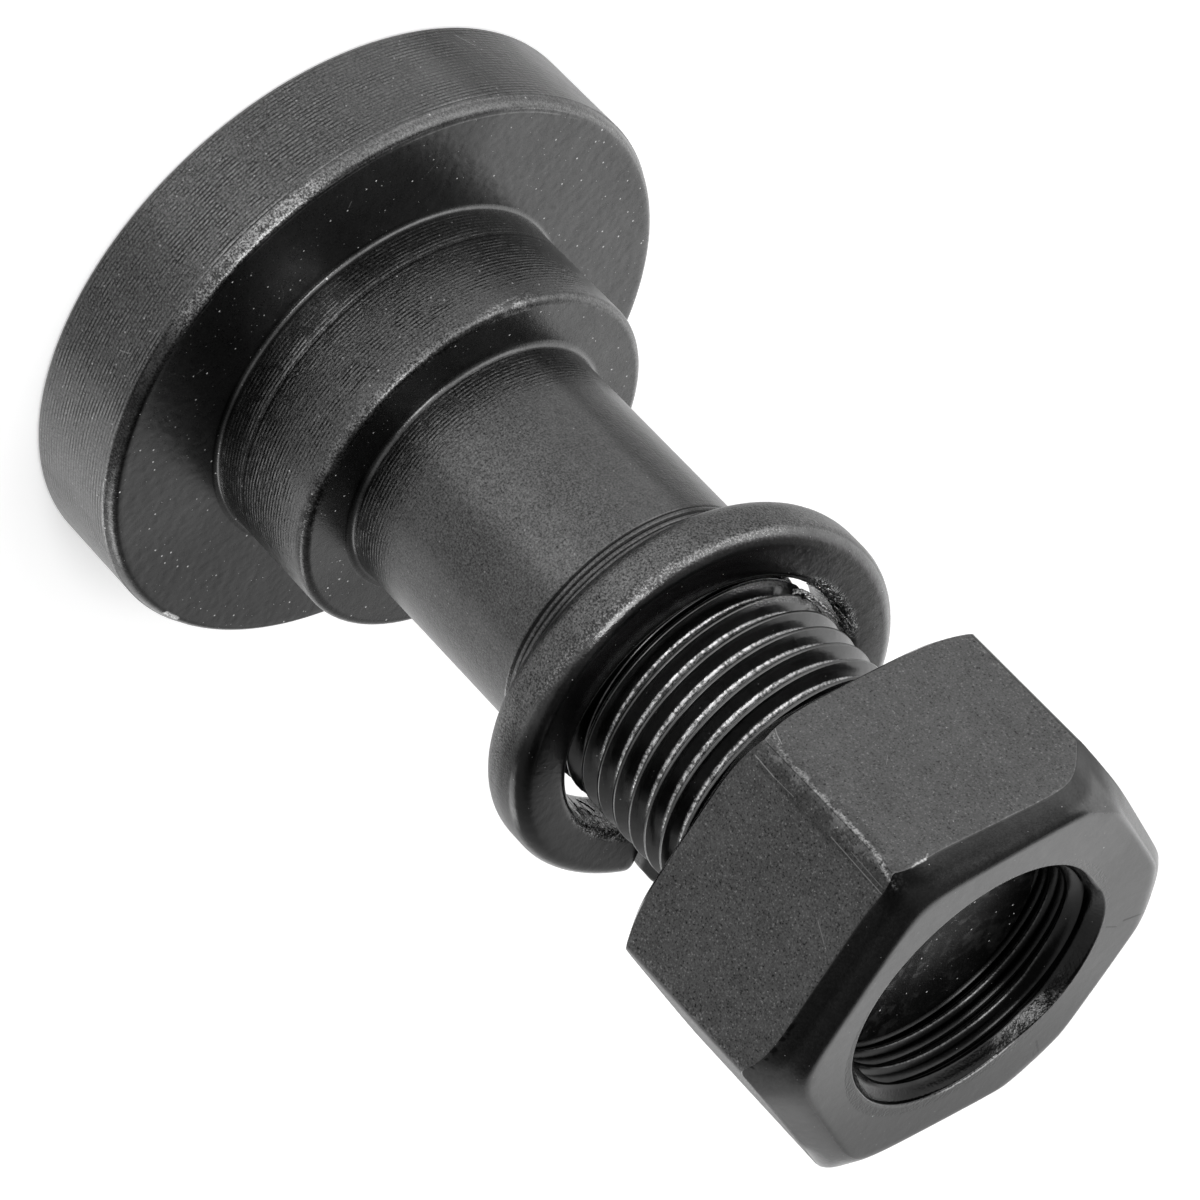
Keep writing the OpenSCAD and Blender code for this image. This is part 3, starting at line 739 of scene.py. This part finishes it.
def nut_steel():
    t = Tree("black_nut_steel")
    x, y, z, r, phi = t.x, t.y, t.z, t.r, t.phi
    top, low = NUT_Z + NUT_H, NUT_Z
    cloud = t.noise(0.18, 1.0, 0.55) - 0.5
    blotch = t.noise(0.8, 1.0, 0.62) - 0.5
    grain = t.noise(3.8, 1.0, 0.7) - 0.5
    fine = t.noise(6.0, 1.0, 0.6) - 0.5
    # how far the point is inside the nearest flat
    flats = None
    for k in range(3):
        a = (30 + 60 * k) * RAD
        d = (x * math.cos(a) + y * math.sin(a)).abs()
        flats = d if flats is None else flats.max(d)
    inset = (flats - NUT_AF / 2) * -1
    flat = t.step(inset, 0.06, 0.02)
    ends = t.step((z - (top + low) / 2).abs(), NUT_H / 2 - 0.12, NUT_H / 2 - 0.02)
    face = ends * t.step(r, 12.72, 12.78)
    sink = t.step(r, 13.95, 13.85) * t.step((z - (top + low) / 2).abs(), NUT_H / 2 - 1.2, NUT_H / 2 - 1.0)
    bore = t.step(r, 13.95, 13.85) * t.step((z - (top + low) / 2).abs(), NUT_H / 2 - 0.02, NUT_H / 2 - 0.1)
    bevel = (1 - flat) * (1 - bore) * (1 - face)
    # flats: a fine speckled skin
    speck = t.step(fine + grain * 0.4, 0.16, 0.26)
    dark = t.step(fine + grain * 0.5, -0.15, -0.25)
    dust = t.specks(0.45, 0.1, 0.25) * 0.9 + t.specks(1.3, 0.055, 0.4) * 0.6
    # the corner towards the front is rubbed bright along a wandering line, with two long scratches beside it
    wave = y - t.step(z, 71.4, 78.0, -1.0, -0.25) - t.step(z, 86.5, 91.5, 0.0, 0.8) + blotch * 0.5
    line = t.step(wave.abs(), 0.3, 0.05) * t.step(x, 20.6, 21.2) * t.step(z, 91.3, 90.6) * t.step(grain + blotch * 0.4, -0.2, 0.1) * t.step(z, 72.0, 90.0, 0.4, 1.0)
    smear = t.step((y - 0.1).abs(), 1.5, 0.2) * t.step(x, 20.3, 21.2) * t.step(blotch + grain * 0.5, 0.0, 0.16)
    others = t.step(r, 21.4, 21.7) * t.step(grain + blotch * 0.6, 0.0, 0.2) * t.step(x.abs(), 20.0, 19.0)
    strip = (t.band(y, 0.5, 1.7, 0.25) + t.band(y, -0.9, -0.25, 0.3) * 0.5) * t.step(z, 73.0, 76.0) * t.step(x, 15.0, 18.0) * flat
    scratch = t.lines([
        (hexpoint(1.5, low + 2.6), hexpoint(1.65, low + 5.1), 0.07, 0.8), (hexpoint(1.65, low + 5.1), hexpoint(1.6, low + 7.6), 0.05, 0.5),
        (hexpoint(1.67, low + 12.4), hexpoint(1.95, low + 19.2), 0.06, 0.6), (hexpoint(1.3, low + 14.6), hexpoint(1.5, low + 18.6), 0.05, 0.35),
        (hexpoint(-1.6, low + 1.9), hexpoint(-1.25, low + 2.6), 0.06, 0.8), (hexpoint(-1.25, low + 2.6), hexpoint(-0.95, low + 3.6), 0.06, 0.8),
        (hexpoint(7.6, low + 15.6), hexpoint(8.6, low + 17.2), 0.06, 0.45), (hexpoint(-7.5, low + 9.0), hexpoint(-6.8, low + 9.7), 0.05, 0.35)])
    mark = t.lines([(hexpoint(-1.5, top - 2.05), hexpoint(-2.2, top - 2.3), 0.13, 0.55), (hexpoint(-2.2, top - 2.3), hexpoint(-3.2, top - 2.25), 0.17, 0.8), (hexpoint(-3.2, top - 2.25), hexpoint(-3.7, top - 2.6), 0.1, 0.5)]) * t.step(fine, -0.2, 0.05, 0.3, 1.0)
    groove = t.lines([(facepoint(-127, 19.0), facepoint(-126, 16.4), 0.16, 1.0), (facepoint(-127.5, 15.7), facepoint(-125, 14.3), 0.1, 0.8),
                      (facepoint(-177, 19.0), facepoint(-174.5, 16.1), 0.16, 1.0), (facepoint(-179.5, 19.4), facepoint(-177.5, 17.5), 0.12, 0.9),
                      (facepoint(178, 19.6), facepoint(179.5, 18.4), 0.12, 0.8), (on(133, 12.6, top - 0.8), on(142, 13.2, top - 0.1), 0.12, 1.0)])
    nicks = t.step(inset, 0.5, 0.15) * bevel * t.band(phi, 45.0, 57.0, 3.0) * t.step(t.noise(1.0, 1.0, 0.6, at=t.xyz(x * 1.6, y * 1.6, 0.0)), 0.48, 0.56)
    worn_ring = t.step((r - 12.85).abs(), 0.25, 0.06) * ends * (t.band(phi, 150.0, 176.0, 10.0) * 0.8 + 0.1) * t.step(grain, -0.2, 0.05)
    scuff = sink * (t.band(phi, 178.0, 190.0, 8.0) + t.band(phi, -180.0, -155.0, 10.0)) * t.step(blotch + grain * 0.5, -0.1, 0.2)
    # painted light: the flats on the -y side are made lighter
    right = t.step(y, 1.5, -1.0)
    col = cloud * 0.02 + blotch * 0.024 + (grain + fine) * (flat * 0.04 + 0.03) + 0.081
    col = col + flat * (speck * 0.055 - dark * 0.028 + right * 0.029 - 0.026) - bevel * 0.018 + face * 0.022
    # painted reflection: a dark band along the front bevel next to the flats
    col = col * (1 - bevel * t.step(inset, 1.6, 0.9) * t.band(phi, -62.0, 54.0, 5.0) * 0.5)
    # painted shade: the bore and the countersink between 50 and 160 degrees darker; painted highlight lines on the
    # crests of the nut's thread
    col = col * (1 - bore * 0.76) * (1 - sink * t.band(phi, 50.0, 160.0, 20.0) * 0.4) + bore * t.step(r, 11.6, 11.52) * (grain * 0.12 + 0.03)
    # painted shade: the nut's end faces darker towards -x and +y
    col = col * (1 - face * t.step(x - y, 0.0, -23.0, 0.08, 0.76)) * (1 - face * t.step(x + y * 0.4, 0.0, -8.0) * 0.24)
    col = col * (1 - strip * 0.3) * (1 - nicks * 0.75) * (1 - groove * 0.7)
    col = col + line * (fine * 0.5 + 0.18) + smear * 0.04 + others * flat * 0.03 + scratch * 0.15 + mark * 0.3 + worn_ring * 0.3 + scuff * (fine * 0.15 + 0.05) + dust * 0.4
    t.put(t.bsdf.inputs["Base Color"], t.grey(col.max(0.012).min(0.9)))
    t.bsdf.inputs["Metallic"].default_value = 1.0
    rough = flat * 0.2 - bevel * 0.03 + face * 0.05 + line * 0.1 + scratch * 0.1 + dust * 0.4 + scuff * 0.15 - bore * 0.05
    t.put(t.bsdf.inputs["Roughness"], rough + grain * 0.12 + 0.27)
    height = (grain * 0.6 + fine * 0.6) * (flat * 0.03 + 0.006) + blotch * 0.012 + grain * sink * 0.03
    t.put(t.bsdf.inputs["Normal"], t.bump(height))
    return t.mat


def facepoint(ph, r):
    """A point on the nut's front face or bevel, given by its angle in degrees and radius."""
    return on(ph, r, NUT_Z + NUT_H - float(nut_top(np.array(ph * RAD), np.array(float(r)), True)))


def hexpoint(u, z):
    """A point on one of the two flats beside the corner at 0 degrees: u mm along the flat from that corner, to +y or -y."""
    a = 30 * RAD * (1 if u >= 0 else -1)
    c = NUT_AF / 2 / math.cos(30 * RAD)
    return (c - abs(u) * math.sin(abs(a)), u * math.cos(a), z)


bolt.data.materials.append(bolt_steel())
washer.data.materials.append(washer_steel())
nut.data.materials.append(nut_steel())

for o, body, node, slot in ((bolt, "bolt", "blade_bolt", "bolt_steel"), (washer, "washer", "lock_washer", "washer_steel"), (nut, "nut", "hex_nut", "nut_steel")):
    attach(o, body)
    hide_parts(node)

# ---------------------------------------------------------------- floor, light, camera
me = bpy.data.meshes.new("floor")
F = 3.0
me.from_pydata([(-F, -F, 0), (F, -F, 0), (F, F, 0), (-F, F, 0)], [], [(0, 1, 2, 3)])
floor = bpy.data.objects.new("floor", me)
bpy.context.scene.collection.objects.link(floor)
fm = bpy.data.materials.new("pale_floor")
fm.use_nodes = True
nt = fm.node_tree
nt.nodes.remove(nt.nodes["Principled BSDF"])
matt, glow, add = (nt.nodes.new(n) for n in ("ShaderNodeBsdfDiffuse", "ShaderNodeEmission", "ShaderNodeAddShader"))
matt.inputs["Color"].default_value = (0.94, 0.94, 0.94, 1)
glow.inputs["Color"].default_value = (1, 1, 1, 1)
glow.inputs["Strength"].default_value = 0.32              # a white table lit from below
nt.links.new(matt.outputs[0], add.inputs[0])
nt.links.new(glow.outputs[0], add.inputs[1])
nt.links.new(add.outputs[0], nt.nodes["Material Output"].inputs["Surface"])
me.materials.append(fm)

# a white studio all round, brighter on one side, with no light straight above
world = bpy.data.worlds.new("studio")
bpy.context.scene.world = world
world.use_nodes = True
w = world.node_tree
bg = w.nodes["Background"]
co = w.nodes.new("ShaderNodeTexCoord")
sep = w.nodes.new("ShaderNodeSeparateXYZ")
w.links.new(co.outputs["Generated"], sep.inputs[0])
sky = w.nodes.new("ShaderNodeMapRange")
sky.interpolation_type = "SMOOTHSTEP"
w.links.new(sep.outputs[2], sky.inputs["Value"])
for key, value in (("From Min", 0.53), ("From Max", 0.8), ("To Min", 1.6), ("To Max", 0.2)):
    sky.inputs[key].default_value = value
side = w.nodes.new("ShaderNodeMapRange")
side.interpolation_type = "SMOOTHSTEP"
w.links.new(sep.outputs[1], side.inputs["Value"])
for key, value in (("From Min", -0.4), ("From Max", 0.35), ("To Min", 1.3), ("To Max", 0.5)):
    side.inputs[key].default_value = value
both = w.nodes.new("ShaderNodeMath")
both.operation = "MULTIPLY"
w.links.new(sky.outputs["Result"], both.inputs[0])
w.links.new(side.outputs["Result"], both.inputs[1])
w.links.new(both.outputs[0], bg.inputs["Strength"])
bg.inputs["Color"].default_value = (1, 1, 1, 1)


def panel(name, at, look, wide, high, power):
    """A rectangular soft light; positions in mm."""
    light = bpy.data.lights.new(name, "AREA")
    light.shape = "RECTANGLE"
    light.size, light.size_y, light.energy = wide * MM, high * MM, power
    ob = bpy.data.objects.new(name, light)
    ob.matrix_world = Matrix.Translation(Vector(at) * MM) @ (Vector(at) - Vector(look)).to_track_quat("Z", "Y").to_matrix().to_4x4()
    bpy.context.scene.collection.objects.link(ob)


panel("panel_right", (190, -390, 240), (20, 0, 60), 400, 300, 0.3)
panel("panel_left", (-150, 340, 60), (0, 0, 30), 200, 120, 0.5)
panel("panel_front", (165, 5, 205), (85, 0, 0), 90, 90, 0.2)

cam = bpy.data.objects.new("camera", bpy.data.cameras.new("camera"))
bpy.context.scene.collection.objects.link(cam)
cam.data.sensor_width = 36.0
cam.data.lens = 174.498
cam.data.clip_start = 0.01
cam.data.clip_end = 20.0
turn = Matrix(((-0.2880814, 0.3934757, 0.8730326), (-0.7416989, -0.6683506, 0.0564813), (0.6057160, -0.6312561, 0.4843799)))
cam.matrix_world = Matrix.Translation(Vector((433.059, 28.302, 282.573)) * MM) @ turn.to_4x4()
bpy.context.scene.camera = cam
bpy.context.scene.view_settings.view_transform = "Standard"
